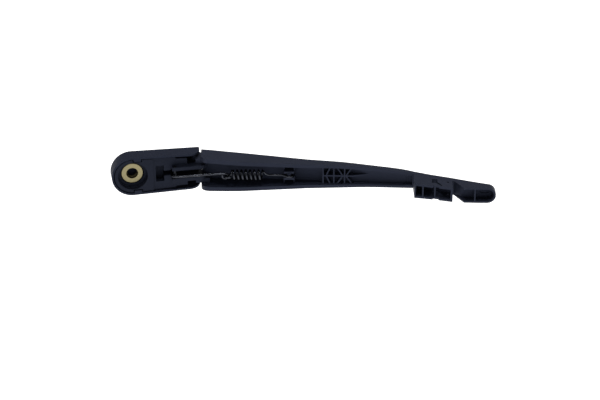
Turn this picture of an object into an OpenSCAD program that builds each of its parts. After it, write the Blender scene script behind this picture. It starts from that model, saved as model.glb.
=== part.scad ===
// Rear wiper arm seen from its glass side: a head that clamps on the wiper spindle, with a clip-on
// cover, and a channel-shaped arm that folds on a cross pin and is pulled to the glass by a spring.
// X runs along the head towards the tip, +Y points away from the glass, Z is across the arm.
// The origin is the mouth of the spindle bore.

/* [Head] */
// Radius of the cover round the spindle
head_r = 17.4; // [15:0.1:20]
// Spindle axis to the open end of the cover
head_len = 56.2; // [55:0.1:57]
// Half width of the cover at its open end
head_end_half = 16; // [15:0.1:17]
// Height of the cover's top edge above the bore's mouth
cover_top = 9.4; // [9:0.1:11]
// Extra height of the cover's crown at its middle
cover_crown = 1.2; // [0.6:0.1:2]
// Depth of the cover's rim below the bore's mouth
rim_drop = 6; // [5:0.1:7]
// Wall of the cover
cover_wall = 1.6; // [1.2:0.1:1.8]
// Rounding of the cover's top edge
cover_edge = 5; // [3:0.5:6]
// Rounding of the cover's lower end corner
cover_end_r = 9.5; // [7:0.5:11]

/* [Spindle insert] */
// Radius of the brass insert's flange
insert_r = 9.3; // [8.5:0.1:10.5]
// Length of the brass insert along the spindle
insert_h = 5.5; // [4.5:0.1:6]
// Radius of the bore's narrow end
spindle_r = 4.1; // [3:0.1:4.5]
// Radius of the bore at its mouth
mouth_r = 4.8; // [4.6:0.1:6]
// Depth of the bore's wide end
seat_h = 2.5; // [2:0.1:3.5]
// Radius of the recess round the insert
recess_r = 12.3; // [11:0.1:13]

/* [Hinge] */
// Hinge pin to the open end of the cover
pin_back = 2.7; // [2.2:0.1:3.2]
// Height of the hinge pin above the bore's mouth
pin_y = 4; // [3.5:0.1:4.4]
// Radius of the hinge pin
pin_r = 2.2; // [1.8:0.1:2.4]
// Running clearance of pins in their bores
pin_gap = 0.05; // [0.02:0.01:0.08]
// Angle by which the unfitted arm droops below the head
fold = 10; // [6:1:12]
// Thickness of each hinge lug on the head
lug_t = 3; // [2.5:0.1:3.2]
// Width of the slot between the two lugs
slot_w = 7.2; // [6:0.1:7.6]
// Radius of the lugs and ears round the pin
lug_r = 3.9; // [3.5:0.1:4.1]
// Side clearance between a lug and the ear beside it
side_gap = 0.3; // [0.2:0.05:0.5]
// Thickness of each ear on the arm
ear_t = 4.4; // [3.5:0.1:5]

/* [Spring anchor] */
// Spindle axis to the anchor pin
anchor_x = 34.5; // [33:0.1:36]
// Depth of the anchor pin below the bore's mouth
anchor_drop = 7.2; // [6.8:0.1:7.6]
// Radius of the anchor pin
anchor_r = 1.3; // [1.2:0.1:1.5]

/* [Arm] */
// Hinge pin to the tip of the arm
arm_len = 243.7; // [235:0.1:260]
// Hinge pin to the arm's square end
arm_start = 4.4; // [4.3:0.1:5.5]
// Width of the arm at its hinge end
arm_w = 29.2; // [28:0.1:30]
// Width of the arm at its tip
tip_w = 14; // [13:0.1:15]
// Thickness of the outer skin
skin = 2.6; // [2:0.1:3]
// Side wall at the hinge end
wall_root = 3.8; // [3:0.1:4.2]
// Side wall at the blade holder
wall_tip = 2.2; // [1.8:0.1:2.6]
// Rounding of the arm's outer edges
arm_edge = 3; // [2:0.5:4]
// Thickness of the thin ribs
rib_t = 1.1; // [0.8:0.1:1.6]

/* [Blade holder] */
// Length of the box that holds the blade
holder_len = 31; // [28:0.5:34]
// Gap at the glass side between the box and the tip pocket
notch_w = 8.9; // [8:0.1:11]
// Length of the tip pocket along its rim
tip_len = 26; // [24:0.5:28]
// Wall of the box and the pocket
box_wall = 1.6; // [1.2:0.1:2]

/* [Spring] */
// Hinge pin to the spring post, along the arm
post_a = 76.7; // [74:0.1:79]
// Depth of the spring post below the hinge pin
post_p = 16.5; // [16:0.1:17]
// Radius of the spring post
post_r = 1.8; // [1.5:0.1:2]
// Wire radius of the coil spring
coil_wire = 0.85; // [0.7:0.05:1]
// Mean radius of the coil
coil_r = 3.7; // [3:0.1:4]
// Number of turns in the coil
coil_turns = 7; // [6:1:8]
// Distance from turn to turn of the stretched coil
coil_pitch = 3.5; // [3:0.1:3.6]
// Wire radius of the link
link_wire = 0.9; // [0.8:0.05:1.1]
// Anchor pin to the ring at the link's other end
link_len = 41; // [40:0.5:42]

/* [Hidden] */
// Clearance of pieces that fit together, and the open seam between the head and its cover
fit_gap = 0.3;
seam_gap = 0.8;
// Half width and depth that cuts run out to, past the whole arm
past_side = 20;
past_rim = -60;
black = [0.16, 0.17, 0.21];
steel = [0.62, 0.63, 0.66];
brass = [0.72, 0.62, 0.36];

// The hinge pin goes with the cover's open end
pin_x = head_len - pin_back;

// Lateral places of the hinge's leaves
lug_in = slot_w / 2;
lug_out = lug_in + lug_t;
ear_in = lug_out + side_gap;
ear_out = ear_in + ear_t;

// The head's own sizes follow from the cover that clips over it
body_r = head_r - cover_wall - seam_gap;
body_end_half = head_end_half - cover_wall - seam_gap;
body_end = pin_x - lug_r - 4.6;
body_low = -rim_drop + 0.6;
lug_low = -anchor_drop - 2;
body_top = cover_top - cover_wall - 0.7;
shoulder_y = body_top - 3.2;
boss_r = insert_r + fit_gap;
nut_r = 8.5;
tab_x = 1;
tab_w = 7;
tab_in = 2.3;
anchor_y = -anchor_drop;

// Places along the arm, counted from the hinge pin
tip_start = arm_len - tip_len;
holder_end = tip_start - notch_w;
holder_start = holder_end - holder_len;
nose_r = tip_w / 2;
nose_a = arm_len - nose_r;

// Spring line from the anchor pin to the post on the arm
post_x = pin_x + post_a * cos(fold) - post_p * sin(fold);
post_y = pin_y - post_a * sin(fold) - post_p * cos(fold);
line_len = norm([post_x - anchor_x, post_y - anchor_y]);
line_tilt = atan2(post_y - anchor_y, post_x - anchor_x);
hook_gap = 0.75;
link_hook_r = anchor_r + hook_gap + link_wire;
loop_r = coil_wire + 1.7;
touch_gap = 0.15;
ring_z = -1.5;
ring_r = link_wire + coil_wire + 0.45;
loop_s = link_len + ring_r - link_wire - coil_wire - touch_gap + loop_r;
coil_s = loop_s + loop_r + 1.2;
coil_len = coil_turns * coil_pitch;
post_hook_r = post_r + fit_gap + coil_wire;

// A flat outline in X and Y given thickness across the arm
module across(z0, z1) {
    translate([0, 0, z0]) linear_extrude(z1 - z0) children();
}

// A plan outline in X and Z given height along Y
module upright(y0, y1) {
    translate([0, y1, 0]) rotate([90, 0, 0]) linear_extrude(y1 - y0) children();
}

// A cylinder that stands along Y
module post(r, y0, y1) {
    translate([0, y0, 0]) rotate([-90, 0, 0]) cylinder(r = r, h = y1 - y0, $fn = 96);
}

// A pair of like shapes on both sides of the middle
module both_sides() {
    children();
    mirror([0, 0, 1]) children();
}

// The arm's own frame: at the hinge pin, drooping by the fold angle
module on_arm() {
    translate([pin_x, pin_y, 0]) rotate([0, 0, -fold]) children();
}

// The spring's own frame: at the anchor pin, along the line to the post
module on_line() {
    translate([anchor_x, anchor_y, 0]) rotate([0, 0, line_tilt]) children();
}

// Half section of the cover: crowned top, rounded edge, straight side down to its rim
module cover_half(half, top, edge, low) {
    intersection() {
        offset(r = edge) offset(delta = -edge) intersection() {
            translate([0, low - 20]) square([half, top + cover_crown - low + 20]);
            translate([0, top + cover_crown - half * half / cover_crown / 2])
                circle(r = half * half / cover_crown / 2, $fn = 360);
            translate([-half, low - 20]) square([2 * half, top + cover_crown - low + 20]);
        }
        translate([0, low]) square([half, top + cover_crown - low]);
    }
}

// Closed form of the cover, from its round end to past its open end
module cover_form(inset, low) {
    edge = cover_edge - inset;
    top = cover_top - inset;
    r = head_r - inset;
    end = head_end_half - inset;
    hull() {
        rotate([-90, 0, 0]) rotate_extrude($fn = 64) cover_half(r, top, edge, low, $fn = 32);
        translate([head_len + 4, 0, 0]) rotate([0, 90, 0])
            linear_extrude(0.5) {
                cover_half(end, top, edge, low, $fn = 32);
                mirror([1, 0]) cover_half(end, top, edge, low, $fn = 32);
            }
    }
}

// Side outline of the cover: a small round at its upper end, a large one at its lower end
module cover_side() {
    high = cover_top + cover_crown + 1;
    nose = 2.4;
    difference() {
        translate([-head_r - 1, -rim_drop]) square([head_len + head_r + 1, high + rim_drop]);
        translate([head_len - cover_end_r, -rim_drop - 0.1])
            difference() {
                square([cover_end_r + 1, cover_end_r + 0.1]);
                translate([0, cover_end_r + 0.1]) circle(r = cover_end_r, $fn = 96);
            }
        translate([head_len - nose, cover_top + cover_crown - nose])
            difference() {
                square([nose + 1, nose + 2]);
                circle(r = nose, $fn = 64);
            }
    }
}

// Clip-on moulded cover over the head
module head_cover() {
    color(black) {
        intersection() {
            difference() {
                cover_form(0, -rim_drop);
                cover_form(cover_wall, -rim_drop - 2);
            }
            across(-head_r - 1, head_r + 1) cover_side();
        }
        both_sides() translate([tab_x, -rim_drop, head_r - cover_wall - tab_in])
            cube([tab_w - 1, body_low + rim_drop + 1, tab_in + cover_wall / 2]);
    }
}

// Plan outline of the head inside its cover, cut square at the hinge end
module body_plan(inset, end) {
    r = body_r - inset;
    half = body_end_half - inset;
    circle(r = r, $fn = 128);
    polygon([[0, -r], [end, -half], [end, half], [0, r]]);
}

// Side outline of one hinge lug: a bar from the anchor pin to its round toe, and the eye for the pin
module lug_side() {
    bar_back = 2.4;
    toe_r = 4;
    toe_reach = 2.7;
    toe = [toe_reach, lug_low + toe_r - pin_y];
    edge = [-toe[1], toe[0]] / norm(toe);
    difference() {
        union() {
            translate([anchor_x - bar_back, lug_low])
                square([pin_x + toe_reach - anchor_x + bar_back, pin_y - lug_low - toe_r]);
            translate([anchor_x, 0]) square([pin_x - anchor_x, pin_y + lug_r]);
            translate([pin_x, pin_y]) {
                circle(r = lug_r, $fn = 96);
                translate(toe) circle(r = toe_r, $fn = 96);
                polygon([[0, 0], lug_r * edge, toe + toe_r * edge, toe]);
            }
        }
        translate([pin_x, pin_y]) circle(r = pin_r + pin_gap, $fn = 96);
        translate([anchor_x, anchor_y]) circle(r = anchor_r + pin_gap, $fn = 64);
    }
}

// Moulded head: round boss for the insert, two side plates and the two lugs of the hinge
module head_body() {
    cavity_x = 19;
    cavity_w = 6.8;
    throat_x = anchor_x - 3;
    color(black) {
        difference() {
            union() {
                upright(body_low, shoulder_y) body_plan(0, body_end);
                upright(shoulder_y - 0.1, body_top) body_plan(2.4, body_end);
            }
            post(recess_r, body_low - 1, 0);
            post(boss_r, -1, insert_h);
            post(nut_r, insert_h - 1, body_top + 1);
            // lowered floor of the plates behind the boss
            upright(body_low - 1, body_low + 0.9)
                translate([cavity_x - 2, -head_r]) square([body_end, 2 * head_r]);
            // deep pocket, throat and the open slot for the spring's hook
            upright(body_low - 1, 3) translate([cavity_x, -7.2]) square([cavity_w, 14.4]);
            upright(body_low - 1, 3) translate([cavity_x + 1, -2.3]) square([throat_x - cavity_x, 4.6]);
            upright(body_low - 1, body_top + 1)
                translate([throat_x, -slot_w / 2]) square([body_end, slot_w]);
            // notches for the cover's clips
            both_sides() translate([tab_x - seam_gap, body_low - 1, head_r - cover_wall - tab_in - seam_gap])
                cube([tab_w - 1 + 2 * seam_gap, 2 + 2 * seam_gap, 8]);
            // outer corners taken back near the hinge
            both_sides() upright(body_low - 1, body_top + 1)
                polygon([[body_end - 11, 20], [body_end - 11, body_end_half + 0.7],
                         [body_end - 9, body_end_half - 0.9], [body_end + 1, body_end_half - 1.3],
                         [body_end + 1, 20]]);
        }
        both_sides() across(lug_in, lug_out) lug_side();
    }
}

// Turned brass insert with a stepped bore, pressed into the head
module spindle_insert() {
    flat = 0.6;
    color(brass) rotate([-90, 0, 0]) rotate_extrude($fn = 128)
        polygon([[mouth_r, 0], [insert_r - flat, 0], [insert_r, flat], [insert_r, insert_h],
                 [spindle_r, insert_h], [spindle_r, seat_h + mouth_r - spindle_r],
                 [mouth_r, seat_h]]);
}

// Steel cross pin of the hinge
module hinge_pin() {
    reach = ear_out - 0.5;
    color(steel) translate([pin_x, pin_y, 0]) cylinder(r = pin_r, h = 2 * reach, center = true, $fn = 64);
}

// Steel pin that the spring's link hooks on
module anchor_pin() {
    reach = lug_out + 0.7;
    color(steel) translate([anchor_x, anchor_y, 0])
        cylinder(r = anchor_r, h = 2 * reach, center = true, $fn = 64);
}

// Value of a smooth curve through list v, at t spans from its start
function smooth(v, t) =
    let(i = min(floor(t), len(v) - 2), u = t - i,
        a = v[max(i - 1, 0)], b = v[i], c = v[i + 1], d = v[min(i + 2, len(v) - 1)])
    b + 0.5 * u * (c - a + u * (2 * a - 5 * b + 4 * c - d + u * (3 * b - 3 * c + d - a)));

// Stations of the beam as shares of its length: place, outer surface, rim, width
beam_len = holder_start - arm_start;
beam = [
    [0.000,   3.3, -16.4, arm_w + 0.8],
    [0.050,   2.5, -16.9, arm_w + 0.4],
    [0.185,   0.1, -19.0, arm_w - 1.8],
    [0.345,  -3.4, -19.1, arm_w - 4.9],
    [0.500,  -6.6, -18.9, arm_w - 7.2],
    [0.650,  -9.3, -18.9, arm_w - 8.4],
    [0.790, -12.3, -20.4, arm_w - 11.1],
    [0.935, -16.4, -23.8, arm_w - 13.8],
    [1.000, -19.2, -25.8, arm_w - 15.6]
];
beam_steps = 24;

// One station of the beam at t spans: place, outer surface, rim, width, wall
function beam_row(t) =
    let(f = smooth([for (r = beam) r[0]], t))
    [arm_start + f * beam_len, smooth([for (r = beam) r[1]], t), smooth([for (r = beam) r[2]], t),
     smooth([for (r = beam) r[3]], t), wall_root + (wall_tip - wall_root) * f];

beam_rows = [for (i = [0:beam_steps]) beam_row(i * (len(beam) - 1) / beam_steps)];

// Stations of the blade holder and the tip: place, outer surface, rim, width
holder_w = 12.6;
holder_top = -19.4;
holder_rim = -42;
box_rim = -49.3;
tip_top = -38.2;
holder_rows = [
    [holder_start + 0.4, holder_top, holder_rim, arm_w - 15.8],
    [holder_start + holder_len / 2, -24.6, (holder_rim + box_rim) / 2, holder_w],
    [holder_end, -29.8, box_rim, holder_w + 0.3],
    [tip_start, -33.6, box_rim - 0.4, tip_w - 0.5],
    [nose_a - 7, tip_top, box_rim - 0.5, tip_w]
];
nose_rows = [for (i = [0:5]) let(q = i * 16)
    [nose_a + nose_r * sin(q), tip_top - 2.2 - 2.5 * (1 - cos(q)), box_rim - 0.5, tip_w * cos(q)]];

// Section of the arm at one station: straight sides, rounded outer edges and a slight crown
function arm_loop(row, edge) =
    let(h = row[3] / 2, e = min(edge, h * 0.45), c = row[3] * 0.025, n = 4, y = row[1] - c - e)
    concat(
        [[row[0], row[2], -h]],
        [for (i = [0:n]) let(q = i * 90 / n) [row[0], y + e * sin(q), e - h - e * cos(q)]],
        [for (i = [1:3]) let(s = i / 2 - 1) [row[0], row[1] - c * s * s, (h - e) * s]],
        [for (i = [n:-1:0]) let(q = i * 90 / n) [row[0], y + e * sin(q), h - e + e * cos(q)]],
        [[row[0], row[2], h]]);

// Solid through a list of like loops
module loft(loops) {
    n = len(loops[0]);
    m = len(loops);
    polyhedron(
        points = [for (l = loops) each l],
        faces = concat(
            [[for (j = [0:n - 1]) j]],
            [for (i = [0:m - 2], j = [0:n - 1]) let(k = (j + 1) % n)
                each [[i * n + j, (i + 1) * n + j, (i + 1) * n + k],
                      [i * n + j, (i + 1) * n + k, i * n + k]]],
            [[for (j = [n - 1:-1:0]) (m - 1) * n + j]]));
}

// Outer form of the arm from its square end to its rounded tip
module arm_form() {
    loft([for (r = concat(beam_rows, holder_rows, nose_rows)) arm_loop(r, arm_edge)]);
}

// Hollow of the channel, open at the hinge end and ending just before the blade holder
module channel_form() {
    reach = [for (r = beam_rows) if (r[0] < holder_start - 3) r];
    start = reach[0];
    rows = concat([[start[0] - 2, start[1], start[2], start[3], start[4]]], reach);
    loft([for (r = rows) arm_loop([r[0], r[1] - skin, r[2] - 4, r[3] - 2 * r[4]], 1.2)]);
}

// Side outline of an ear: a round eye for the pin and a neck into the channel
module ear_side() {
    difference() {
        union() {
            circle(r = lug_r, $fn = 96);
            translate([0, -9]) square([arm_start + 7, 9]);
            translate([0, -1]) square([arm_start + 7, 3]);
        }
        circle(r = pin_r + pin_gap, $fn = 96);
    }
}

// Height of the channel's floor at place a
function floor_p(a) = lookup(a, [for (r = beam_rows) [r[0], r[1]]]) - skin + 0.3;
// Height of the rim at place a
function rim_p(a) = lookup(a, [for (r = beam_rows) [r[0], r[2]]]);
// Half width inside the channel at place a
function inner_half(a) = lookup(a, [for (r = beam_rows) [r[0], r[3] / 2 - r[4]]]);

// Thin rib across the channel, short of the rim by drop
module cross_rib(a, drop) {
    h = inner_half(a) + 0.5;
    translate([a - rib_t / 2, rim_p(a) + drop, -h])
        cube([rib_t, floor_p(a) - rim_p(a) - drop, 2 * h]);
}

// Thin slanted rib from the middle of the channel to its wall
module slant_rib(a0, a1) {
    h = inner_half(a1);
    low = rim_p(a0) + rib_drop;
    both_sides() upright(low, floor_p(a0))
        polygon([[a0 - rib_t / 2, 0], [a0 + rib_t / 2, 0],
                 [a1 + rib_t / 2, h + 0.5], [a1 - rib_t / 2, h + 0.5]]);
}

// Braces of the channel: three cross ribs, a rib along the middle and slanted ribs between them
brace_start = 104.5;
brace_pitch = 8.8;
rib_drop = 1.4;
module braces() {
    for (i = [0:2]) cross_rib(brace_start + i * brace_pitch, rib_drop);
    slant_rib(brace_start + 2.5, brace_start + 6);
    slant_rib(brace_start + 2 * brace_pitch - 1.5, brace_start + brace_pitch + 2.3);
    slant_rib(brace_start + 2 * brace_pitch + 1, brace_start + 2 * brace_pitch + 6.2);
    spine_end = brace_start + 38;
    across(-rib_t / 2, rib_t / 2) polygon([
        [brace_start, rim_p(brace_start) + rib_drop],
        [brace_start + 24, rim_p(brace_start + 24) + rib_drop],
        [spine_end, floor_p(spine_end)], [brace_start, floor_p(brace_start)]]);
}

// Block that holds the spring post: two cheeks, the post and a rib on each side
module spring_block() {
    half_len = 4.1;
    cheek_in = coil_wire + 1.1;
    cheek_t = 1.8;
    low = -post_p - 0.9;
    rib_low = -post_p + 3;
    both_sides() translate([post_a - half_len, low, cheek_in])
        cube([2 * half_len, floor_p(post_a + half_len) - low, cheek_t]);
    translate([post_a, -post_p, -cheek_in - 0.5]) cylinder(r = post_r, h = 2 * cheek_in + 1, $fn = 48);
    both_sides() for (s = [-1, 1]) translate([post_a + s * half_len - rib_t / 2, rib_low, cheek_in + 0.5])
        cube([rib_t, floor_p(post_a + s * half_len) - rib_low, inner_half(post_a) - cheek_in]);
}

// Everything cut from the blade holder and the tip
module holder_cuts() {
    in_half = holder_w / 2 - box_wall;
    cell_deep = 13;
    gap_top = -37.5;
    cells = [[box_wall, 6.6], [7.8, 16.2], [17.4, holder_len - box_wall]];
    // three cells open to the glass side
    for (c = cells) across(-in_half, in_half) polygon([
        [holder_start + c[0], past_rim], [holder_start + c[1], past_rim],
        [holder_start + c[1], holder_rim + cell_deep - c[1] * 0.28],
        [holder_start + c[0], holder_rim + cell_deep - c[0] * 0.28]]);
    // slanted gap that takes the blade's cross pin
    across(-past_side, past_side) polygon([
        [holder_end, past_rim], [holder_end, gap_top], [holder_end + 1.6, gap_top],
        [tip_start, box_rim], [tip_start + 4, past_rim]]);
    // window and slit through one side wall
    across(0, past_side) polygon([
        [holder_start + 14.6, -34], [holder_start + 19, -34], [holder_start + 19, -39],
        [holder_start + 22.9, -44.6], [holder_start + 21.5, -45.2], [holder_start + 17.6, -40],
        [holder_start + 14.6, -40]]);
    // notch in the rim of both walls, and a small eye near the gap
    across(-past_side, past_side) polygon([
        [holder_start + 14.3, past_rim], [holder_start + 15.3, -44.1], [holder_start + 19.8, -45.1],
        [holder_start + 21.4, past_rim]]);
    translate([holder_end - 3.4, -39.4, 0]) cylinder(r = 0.9, h = 40, center = true, $fn = 32);
    // deep slot between the channel's end and the box
    slot_top = rim_p(holder_start) + 4.6;
    slot_back = 4.6;
    slot_len = 4;
    lead_back = 9;
    lead_len = 4.5;
    across(-inner_half(holder_start), inner_half(holder_start))
        union() {
            translate([holder_start - slot_back, past_rim]) square([slot_len, slot_top - past_rim]);
            translate([holder_start - lead_back, past_rim])
                square([lead_len, floor_p(holder_start - 6) - 0.3 - past_rim]);
        }
    // pocket of the tip, open to the glass side and to the gap
    pocket_floor = tip_top - 4.4;
    half = tip_w / 2 - box_wall;
    divider = tip_start + 9;
    difference() {
        union() {
            upright(past_rim, pocket_floor) translate([nose_a, 0]) circle(r = half, $fn = 96);
            across(-half, half) polygon([
                [holder_end + 1, past_rim], [nose_a, past_rim], [nose_a, pocket_floor],
                [tip_start - 2, pocket_floor], [holder_end + 1, gap_top]]);
        }
        translate([divider - rib_t / 2, past_rim, -tip_w]) cube([rib_t, 40, 2 * tip_w]);
    }
    // oval recess in the pocket's floor
    upright(past_rim, pocket_floor + 1) hull() for (s = [-1, 1])
        translate([nose_a - 2 + s * 2.2, 0]) circle(r = 1.9, $fn = 32);
}

// One-piece moulded arm with its ears, ribs, spring post, blade holder and tip pocket
module arm() {
    color(black) on_arm() difference() {
        union() {
            difference() {
                arm_form();
                channel_form();
            }
            both_sides() across(ear_in, ear_out) ear_side();
            both_sides() across(ear_out - 0.5, arm_w / 2 - 1.5)
                translate([arm_start, -10]) square([4, 9.5]);
            braces();
            spring_block();
        }
        holder_cuts();
        // rounded rim corner at the hinge end
        across(-past_side, past_side) translate([arm_start, beam[0][2]]) difference() {
            translate([-2, -2]) square([8, 8]);
            translate([6, 6]) circle(r = 6, $fn = 96);
        }
        // rounded outer corner at the hinge end
        across(-past_side, past_side) translate([arm_start, beam[0][1]]) difference() {
            translate([-0.1, -2.6]) square([2.7, 3.6]);
            translate([2.6, -2.6]) circle(r = 2.6, $fn = 96);
        }
    }
}

function unit(v) = v / norm(v);

// Side directions along a path, each turned as little as possible from the one before
function side_dirs(p, i, last) =
    i >= len(p) ? [] :
    let(t = unit(p[min(i + 1, len(p) - 1)] - p[max(i - 1, 0)]), s = unit(last - (last * t) * t))
    concat([s], side_dirs(p, i + 1, s));

// Round wire along a path of points
module wire(p, r, first, sides = 8) {
    dirs = side_dirs(p, 0, first);
    loops = [for (i = [0:len(p) - 1])
        let(t = unit(p[min(i + 1, len(p) - 1)] - p[max(i - 1, 0)]), u = dirs[i], v = cross(t, u))
        [for (j = [0:sides - 1]) let(q = j * 360 / sides) p[i] + r * (cos(q) * u + sin(q) * v)]];
    loft(loops);
}

// Path of the spring's wire along its line: end loop, coil, straight leg and the hook on the post
coil_steps = 18;
leg_s = coil_s + coil_len + 4.6;
hook_s = line_len - 5.6;
spring_path = concat(
    [for (q = [-40:-20:-320]) [loop_s + loop_r * cos(q), loop_r * sin(q), ring_z]],
    [[coil_s - 1.6, loop_r * 0.75, 0], [coil_s - 0.9, coil_r * 0.4, coil_r * 0.8]],
    [for (i = [0:coil_turns * coil_steps]) let(q = 90 + i * 360 / coil_steps)
        [coil_s + i * coil_pitch / coil_steps, coil_r * cos(q), coil_r * sin(q)]],
    [[coil_s + coil_len + 0.9, -coil_r * 0.3, coil_r * 0.88],
     [coil_s + coil_len + 2.4, -coil_r * 0.3, coil_r * 0.4]],
    [[leg_s, 0, 0], [(leg_s + hook_s) / 2, 0, 0], [hook_s, 0, 0]],
    [for (q = [215:15:500]) [line_len + post_hook_r * cos(q), post_hook_r * sin(q), 0]]);

// Coil spring with a loop at one end and a long hook at the other
module spring() {
    color(steel) on_line() wire(spring_path, coil_wire, [0, 1, 0]);
}

// Path of the link: hook round the anchor pin, straight run and the loop that carries the spring
hook_z = -1;
link_path = concat(
    [for (q = [50:20:270]) [link_hook_r * cos(q), link_hook_r * sin(q), hook_z]],
    [[4, -link_hook_r, hook_z], [link_len / 2, -link_hook_r / 2, (hook_z + ring_z + ring_r) / 2],
     [link_len - 3, 0, ring_z + ring_r]],
    [for (q = [90:-20:-210]) [link_len + ring_r * cos(q), 0, ring_z + ring_r * sin(q)]]);

// Bent wire link between the anchor pin and the spring
module spring_link() {
    color(steel) on_line() wire(link_path, link_wire, [0, 0, 1], 12);
}

head_cover();
head_body();
spindle_insert();
hinge_pin();
anchor_pin();
arm();
spring();
spring_link();
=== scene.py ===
import math

import bpy
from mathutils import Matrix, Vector


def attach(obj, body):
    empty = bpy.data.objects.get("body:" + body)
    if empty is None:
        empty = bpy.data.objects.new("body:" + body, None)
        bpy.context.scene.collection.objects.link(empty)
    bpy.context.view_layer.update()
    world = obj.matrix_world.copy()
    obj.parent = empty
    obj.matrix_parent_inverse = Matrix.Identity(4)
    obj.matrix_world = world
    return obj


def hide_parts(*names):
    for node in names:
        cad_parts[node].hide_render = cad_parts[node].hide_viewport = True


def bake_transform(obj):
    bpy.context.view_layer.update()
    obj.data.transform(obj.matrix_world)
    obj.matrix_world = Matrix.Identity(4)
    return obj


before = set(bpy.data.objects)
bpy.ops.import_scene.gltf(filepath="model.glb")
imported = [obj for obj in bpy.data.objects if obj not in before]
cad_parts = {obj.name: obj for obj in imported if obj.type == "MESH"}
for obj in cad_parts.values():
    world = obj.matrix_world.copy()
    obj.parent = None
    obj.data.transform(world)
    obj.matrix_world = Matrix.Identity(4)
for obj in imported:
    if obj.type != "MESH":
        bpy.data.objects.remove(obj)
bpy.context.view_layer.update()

# Camera at the photograph's viewing angle: it sees the arm's glass side from about 30 degrees above
# and 10 degrees towards the head. The picture is 492 mm wide at the arm.
PICTURE_WIDTH = 0.492
CAMERA_REACH = 1.9
SENSOR_MM = 36.0
CENTRE_RIGHT = 0.1376
CENTRE_UP = -0.0219
looking = Vector((0.150, 0.853, -0.5)).normalized()
picture_right = Vector((0.985, -0.174, 0.0)).normalized()
picture_up = picture_right.cross(looking).normalized()
picture_centre = picture_right * CENTRE_RIGHT + picture_up * CENTRE_UP

eye = bpy.data.cameras.new("eye")
eye.sensor_width = SENSOR_MM
eye.lens = SENSOR_MM * CAMERA_REACH / PICTURE_WIDTH
eye.clip_start = 0.05
eye.clip_end = 60.0
camera = bpy.data.objects.new("eye", eye)
bpy.context.collection.objects.link(camera)
camera.location = picture_centre - looking * CAMERA_REACH
camera.rotation_mode = "QUATERNION"
camera.rotation_quaternion = (-looking).to_track_quat("Z", "Y")
bpy.context.scene.camera = camera

# Studio: a white light table far below the arm, washed by a light behind it, with a small hard light
# over the arm for the wires' highlights and a broad one from the glass side.
FLOOR_Z = -0.35
FLOOR_SIZE = 30
SPRING_PLACE = (0.13, -0.02, 0)
bpy.context.scene.view_settings.view_transform = "Standard"
bpy.ops.object.select_all(action="DESELECT")
bpy.ops.mesh.primitive_plane_add(size=FLOOR_SIZE, location=(0.15, 0, FLOOR_Z))
floor = bpy.context.object
floor.name = "light_table"
bpy.ops.object.transform_apply(location=True)
sheet = bpy.data.materials.new("lit_acrylic")
sheet.use_nodes = True
sheet_shader = sheet.node_tree.nodes["Principled BSDF"]
sheet_shader.inputs["Base Color"].default_value = (0.93, 0.93, 0.93, 1)
sheet_shader.inputs["Roughness"].default_value = 0.9
sheet_shader.inputs["Emission Color"].default_value = (1, 1, 1, 1)
sheet_shader.inputs["Emission Strength"].default_value = 0.85
floor.data.materials.append(sheet)

# The air is dim overhead and fades to the table's white at the horizon, as a curved backdrop does. The
# fade's heights are those of a direction one unit long.
world = bpy.data.worlds.new("studio_air")
world.use_nodes = True
air = world.node_tree
backdrop = air.nodes["Background"]
backdrop.inputs["Color"].default_value = (1, 1, 1, 1)
way = air.nodes.new("ShaderNodeTexCoord")
height = air.nodes.new("ShaderNodeSeparateXYZ")
fade = air.nodes.new("ShaderNodeMapRange")
for socket, value in (("From Min", 0.045), ("From Max", 0.22), ("To Min", 1.0), ("To Max", 0.20)):
    fade.inputs[socket].default_value = value
air.links.new(way.outputs["Generated"], height.inputs["Vector"])
air.links.new(height.outputs["Z"], fade.inputs["Value"])
air.links.new(fade.outputs["Result"], backdrop.inputs["Strength"])
bpy.context.scene.world = world


def soft_light(name, place, aim, size, watts):
    """A rectangular light that shines from place to aim."""
    lamp = bpy.data.lights.new(name, "AREA")
    lamp.shape = "RECTANGLE"
    lamp.size, lamp.size_y = size
    lamp.energy = watts
    stand = bpy.data.objects.new(name, lamp)
    bpy.context.collection.objects.link(stand)
    stand.location = place
    stand.rotation_mode = "QUATERNION"
    stand.rotation_quaternion = (Vector(place) - Vector(aim)).to_track_quat("Z", "Y")


soft_light("floor_wash", place=(0.15, 1.0, 2.6), aim=(0.15, 0.8, FLOOR_Z), size=(2.2, 1.2), watts=40)
soft_light("highlights", place=(0.05, -0.35, 1.2), aim=SPRING_PLACE, size=(0.26, 0.09), watts=4)
soft_light("glass_side", place=(-0.3, -1.7, 0.9), aim=SPRING_PLACE, size=(0.9, 0.7), watts=2)


# Head cover: a thin clip-on shell of glass-filled black plastic, moulded with a fine spark-eroded
# grain. It is satin and a little bluish, and its mould's edges left small radii.
MOULDED_EDGE = 0.0003
MACHINED_EDGE = 0.0002
CREASE = math.radians(32)
WELD = 0.000005
NEARLY_FLAT = math.radians(1)


class Strand:
    """One output of a finish's nodes. A sum, difference or product of strands adds a Math node."""

    def __init__(self, tree, socket=None):
        self.tree, self.socket = tree, socket

    def node(self, kind, out=0, inputs=None, **settings):
        """Adds a node: its settings first, then the values or strands of its sockets."""
        made = self.tree.nodes.new("ShaderNode" + kind)
        for key, value in settings.items():
            setattr(made, key, value)
        for key, value in (inputs or {}).items():
            if isinstance(value, Strand):
                self.tree.links.new(value.socket, made.inputs[key])
            else:
                made.inputs[key].default_value = value
        return Strand(self.tree, made.outputs[out])

    def math(self, operation, *values):
        return self.node("Math", operation=operation, inputs=dict(enumerate(values)))

    def __add__(self, other):
        return self.math("ADD", self, other)

    def __sub__(self, other):
        return self.math("SUBTRACT", self, other)

    def __mul__(self, other):
        return self.math("MULTIPLY", self, other)

    __radd__ = __add__
    __rmul__ = __mul__


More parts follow.
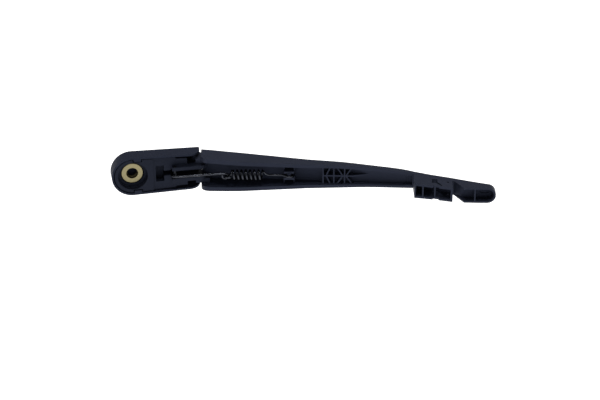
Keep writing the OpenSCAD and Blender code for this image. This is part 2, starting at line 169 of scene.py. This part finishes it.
def new_finish(name):
    """A material with its shader, and a strand of its Object coordinates."""
    finish = bpy.data.materials.new(name)
    finish.use_nodes = True
    tree = finish.node_tree
    place = Strand(tree).node("TexCoord", out="Object")
    return finish, tree.nodes["Principled BSDF"], place


def feed(shader, **sockets):
    """Links strands to the shader's sockets, underscores standing for spaces."""
    for key, strand in sockets.items():
        strand.tree.links.new(strand.socket, shader.inputs[key.replace("_", " ")])


def moulded_plastic(name, dark, light, gloss, shine=0.12):
    """Satin moulded plastic: a cloudy tone, a fine eroded grain and slightly uneven gloss."""
    finish, shader, place = new_finish(name)
    cloud = place.node("TexNoise", inputs={"Vector": place, "Scale": 38.0, "Detail": 3.0})
    grain = place.node("TexNoise", inputs={"Vector": place, "Scale": 2600.0, "Detail": 2.0})
    speck = place.node("TexVoronoi", inputs={"Vector": place, "Scale": 900.0})
    tone = place.node("Mix", out="Result", data_type="RGBA", inputs={
        "Factor": cloud * 0.7 + grain * 0.3, "A": dark, "B": light})
    feed(shader, Base_Color=tone, Roughness=gloss + 0.10 * (cloud - 0.5) + 0.12 * (grain - 0.5))
    bump = place.node("Bump", inputs={
        "Strength": 0.35, "Distance": 0.00012, "Height": grain + 0.5 * speck})
    feed(shader, Normal=bump)
    shader.inputs["Specular IOR Level"].default_value = shine
    shader.inputs["Specular Tint"].default_value = (0.62, 0.70, 1.0, 1)
    return finish


def eased(node, body, finish, ease):
    """A copy of a solid's mesh with its sharp edges rounded a little, which takes its place."""
    piece = bpy.data.objects.new(node + "_eased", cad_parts[node].data.copy())
    bpy.context.collection.objects.link(piece)
    bpy.ops.object.select_all(action="DESELECT")
    piece.select_set(True)
    bpy.context.view_layer.objects.active = piece
    bpy.ops.object.mode_set(mode="EDIT")
    bpy.ops.mesh.select_all(action="SELECT")
    bpy.ops.mesh.remove_doubles(threshold=WELD)
    bpy.ops.mesh.dissolve_limited(angle_limit=NEARLY_FLAT)
    bpy.ops.object.mode_set(mode="OBJECT")
    bpy.ops.object.modifier_add(type="BEVEL")
    rounding = piece.modifiers[-1]
    rounding.limit_method = "ANGLE"
    rounding.angle_limit = CREASE
    rounding.width = ease
    rounding.segments = 2
    rounding.use_clamp_overlap = True
    bpy.ops.object.modifier_apply(modifier=rounding.name)
    bpy.ops.object.shade_smooth_by_angle(angle=CREASE)
    bpy.ops.object.modifier_add(type="WEIGHTED_NORMAL")
    shading = piece.modifiers[-1]
    shading.keep_sharp = True
    bpy.ops.object.modifier_apply(modifier=shading.name)
    piece.data.materials.clear()
    piece.data.materials.append(finish)
    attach(piece, body)
    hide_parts(node)


cover_plastic = moulded_plastic(
    "satin_cover_plastic", (0.011, 0.0135, 0.023, 1), (0.022, 0.026, 0.043, 1), 0.56, 0.07)
eased("head_cover", "head", cover_plastic, MOULDED_EDGE)

# Head body: the same plastic, coloured darker than the cover and the arm as painted shade on its face,
# moulded with a seat for the brass insert, two plates and the hinge's lugs. Its face is a little duller
# than the arm's.
shaded_head_plastic = moulded_plastic(
    "satin_head_plastic", (0.006, 0.0073, 0.0125, 1), (0.012, 0.0147, 0.0245, 1), 0.50)
eased("head_body", "head", shaded_head_plastic, MOULDED_EDGE)


# Spindle insert: brass bar, turned with a stepped bore and pressed in the head. Its face keeps the
# lathe tool's fine rings round the bore, one in each quarter of a millimetre.
RING_RATE = 25000.0
RING_WANDER = 0.00006


def turned_brass(name, dark, light):
    """Brass whose tone, gloss and relief follow rings round the spindle's axis."""
    finish, shader, place = new_finish(name)
    x = place.node("SeparateXYZ", out="X", inputs={"Vector": place})
    z = place.node("SeparateXYZ", out="Z", inputs={"Vector": place})
    wander = place.node("TexNoise", inputs={"Vector": place, "Scale": 300.0, "Detail": 3.0})
    radius = x.math("SQRT", x * x + z * z) + wander * RING_WANDER
    rings = x.math("SINE", radius * RING_RATE) * 0.5 + 0.5
    tone = place.node("Mix", out="Result", data_type="RGBA", inputs={
        "Factor": wander * 0.7 + rings * 0.3, "A": dark, "B": light})
    bump = place.node("Bump", inputs={"Strength": 0.25, "Distance": 0.00005, "Height": rings})
    feed(shader, Base_Color=tone, Roughness=0.30 + 0.25 * (wander - 0.5) + 0.08 * rings, Normal=bump)
    shader.inputs["Metallic"].default_value = 1.0
    return finish


brass = turned_brass("turned_brass", (0.19, 0.163, 0.088, 1), (0.30, 0.268, 0.158, 1))
eased("spindle_insert", "head", brass, MACHINED_EDGE)


# Hinge pin and anchor pin: ground steel rod, cut to length and blackened. Light rust and oil leave
# the tone uneven.
PIN_EDGE = 0.0003


def drawn_steel(name, dark, light, gloss):
    """Steel wire or rod: a cloudy dark skin with brighter worn spots."""
    finish, shader, place = new_finish(name)
    cloud = place.node("TexNoise", inputs={"Vector": place, "Scale": 160.0, "Detail": 4.0})
    scratch = place.node("TexNoise", inputs={"Vector": place, "Scale": 2400.0, "Detail": 2.0})
    tone = place.node("Mix", out="Result", data_type="RGBA", inputs={
        "Factor": cloud * 0.8 + scratch * 0.2, "A": dark, "B": light})
    bump = place.node("Bump", inputs={"Strength": 0.2, "Distance": 0.00004, "Height": scratch})
    feed(shader, Base_Color=tone, Roughness=gloss + 0.2 * (cloud - 0.5) + 0.1 * (scratch - 0.5),
         Normal=bump)
    shader.inputs["Metallic"].default_value = 1.0
    return finish


pin_steel = drawn_steel("blackened_rod", (0.010, 0.011, 0.014, 1), (0.028, 0.030, 0.036, 1), 0.34)
eased("hinge_pin", "head", pin_steel, PIN_EDGE)
eased("anchor_pin", "head", pin_steel, MACHINED_EDGE)

# Arm: one long moulded channel of the same plastic with ears, spring block, braces, holder box and tip
# pocket. Its thin rims are rounded by the mould and catch the light.
arm_plastic = moulded_plastic(
    "satin_arm_plastic", (0.011, 0.0135, 0.023, 1), (0.024, 0.028, 0.046, 1), 0.48)
eased("arm", "arm", arm_plastic, MOULDED_EDGE)

# Coil spring: round spring steel wire with a dark phosphate skin, wound in seven open turns. One end
# is a loop that hangs in the link's ring, the other a long leg whose hook sits on the arm's post.
spring_steel = drawn_steel("phosphated_wire", (0.016, 0.0175, 0.022, 1), (0.062, 0.066, 0.080, 1), 0.22)
# The places and sizes of both wires at rest are those of the part's source.
ANCHOR = Vector((0.0345, -0.0072, 0.0))
HINGE = Vector((0.0535, 0.004, 0.0))
DROOP = math.radians(10)
POST_ALONG = 0.0767
POST_BELOW = 0.0165
POST = HINGE + Vector((
    POST_ALONG * math.cos(DROOP) - POST_BELOW * math.sin(DROOP),
    -POST_ALONG * math.sin(DROOP) - POST_BELOW * math.cos(DROOP), 0.0))
ANCHOR_R = 0.0013
POST_R = 0.0018
LINK_WIRE = 0.0009
COIL_WIRE = 0.00085
LINK_LEN = 0.041
FIT_GAP = 0.0003
TOUCH_GAP = 0.00015
RING_Z = -0.0015
RING_PLAY = 0.00045
RING_R = LINK_WIRE + COIL_WIRE + RING_PLAY
LOOP_INSIDE = 0.0017
LOOP_R = COIL_WIRE + LOOP_INSIDE
POST_HOOK_R = POST_R + FIT_GAP + COIL_WIRE
COIL_R = 0.0037
COIL_PITCH = 0.0035
COIL_TURNS = 7
TURN_STEPS = 40
LEAD_IN = 0.0012
LEAD_OUT = 0.0046
HOOK_NECK = 0.0056
WIRE_WELD = 0.000002
WIRE_CREASE = math.radians(40)
line_len = (POST - ANCHOR).length
line_way = (POST - ANCHOR).normalized()
line_side = Vector((-line_way.y, line_way.x, 0.0))
loop_s = LINK_LEN + RING_R - LINK_WIRE - COIL_WIRE - TOUCH_GAP + LOOP_R
coil_s = loop_s + LOOP_R + LEAD_IN
coil_end = coil_s + COIL_PITCH * COIL_TURNS


def circle_points(first, last, step, place):
    """Points of an arc in degrees, each given by place(cosine, sine)."""
    count = int(round(abs(last - first) / step))
    turns = [math.radians(first + (last - first) * n / count) for n in range(count + 1)]
    return [place(math.cos(t), math.sin(t)) for t in turns]


def bent_wire(name, route, radius, finish):
    """A round wire along points given along the spring's line, beside it and across the arm."""
    shape = bpy.data.curves.new(name, "CURVE")
    shape.dimensions = "3D"
    shape.bevel_depth = radius
    shape.bevel_resolution = 4
    shape.use_fill_caps = True
    spline = shape.splines.new("POLY")
    spline.points.add(len(route) - 1)
    for point, (s, n, z) in zip(spline.points, route):
        point.co = (*(ANCHOR + line_way * s + line_side * n + Vector((0, 0, z))), 1)
    wire = bpy.data.objects.new(name, shape)
    bpy.context.collection.objects.link(wire)
    bpy.ops.object.select_all(action="DESELECT")
    wire.select_set(True)
    bpy.context.view_layer.objects.active = wire
    bpy.ops.object.convert(target="MESH")
    wire = bpy.context.object
    bpy.ops.object.mode_set(mode="EDIT")
    bpy.ops.mesh.select_all(action="SELECT")
    bpy.ops.mesh.remove_doubles(threshold=WIRE_WELD)
    bpy.ops.mesh.normals_make_consistent(inside=False)
    bpy.ops.object.mode_set(mode="OBJECT")
    bpy.ops.object.shade_smooth_by_angle(angle=WIRE_CREASE)
    wire.data.materials.clear()
    wire.data.materials.append(finish)
    return wire


# The points between the loop, the coil and the leg are given one by one, as in the source.
leg_s = coil_end + LEAD_OUT
hook_s = line_len - HOOK_NECK
spring_route = circle_points(-40, -320, 10, lambda c, s: (loop_s + LOOP_R * c, LOOP_R * s, RING_Z))
spring_route += [(coil_s - 0.0016, LOOP_R * 0.75, 0.0),
                 (coil_s - 0.0009, COIL_R * 0.4, COIL_R * 0.8)]
for n in range(COIL_TURNS * TURN_STEPS + 1):
    turn = math.radians(90) + 2 * math.pi * n / TURN_STEPS
    spring_route.append((coil_s + COIL_PITCH * n / TURN_STEPS,
                         COIL_R * math.cos(turn), COIL_R * math.sin(turn)))
spring_route += [(coil_end + 0.0009, -COIL_R * 0.3, COIL_R * 0.88),
                 (coil_end + 0.0024, -COIL_R * 0.3, COIL_R * 0.4),
                 (leg_s, 0, 0), ((leg_s + hook_s) / 2, 0, 0), (hook_s, 0, 0)]
spring_route += circle_points(
    215, 500, 8, lambda c, s: (line_len + POST_HOOK_R * c, POST_HOOK_R * s, 0))
coil = bent_wire("coil_spring", spring_route, COIL_WIRE, spring_steel)
ANCHOR + line_way * (coil_end + 0.001)
ANCHOR + line_way * (coil_s - 0.001)
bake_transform(coil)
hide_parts("spring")

# Link: slightly thicker steel wire with the same dark skin. One end is a hook round the head's anchor
# pin and the other a closed ring for the spring's loop.
HOOK_PLAY = 0.00075
HOOK_R = ANCHOR_R + HOOK_PLAY + LINK_WIRE
HOOK_Z = -0.001
HOOK_SHANK = 0.004
RING_SHANK = 0.003
link_route = circle_points(50, 270, 10, lambda c, s: (HOOK_R * c, HOOK_R * s, HOOK_Z))
link_route += [(HOOK_SHANK, -HOOK_R, HOOK_Z),
               (LINK_LEN / 2, -HOOK_R / 2, (HOOK_Z + RING_Z + RING_R) / 2),
               (LINK_LEN - RING_SHANK, 0, RING_Z + RING_R)]
link_route += circle_points(
    90, -210, 10, lambda c, s: (LINK_LEN + RING_R * c, 0, RING_Z + RING_R * s))
link = bent_wire("pull_link", link_route, LINK_WIRE, spring_steel)
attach(link, "link")
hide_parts("spring_link")
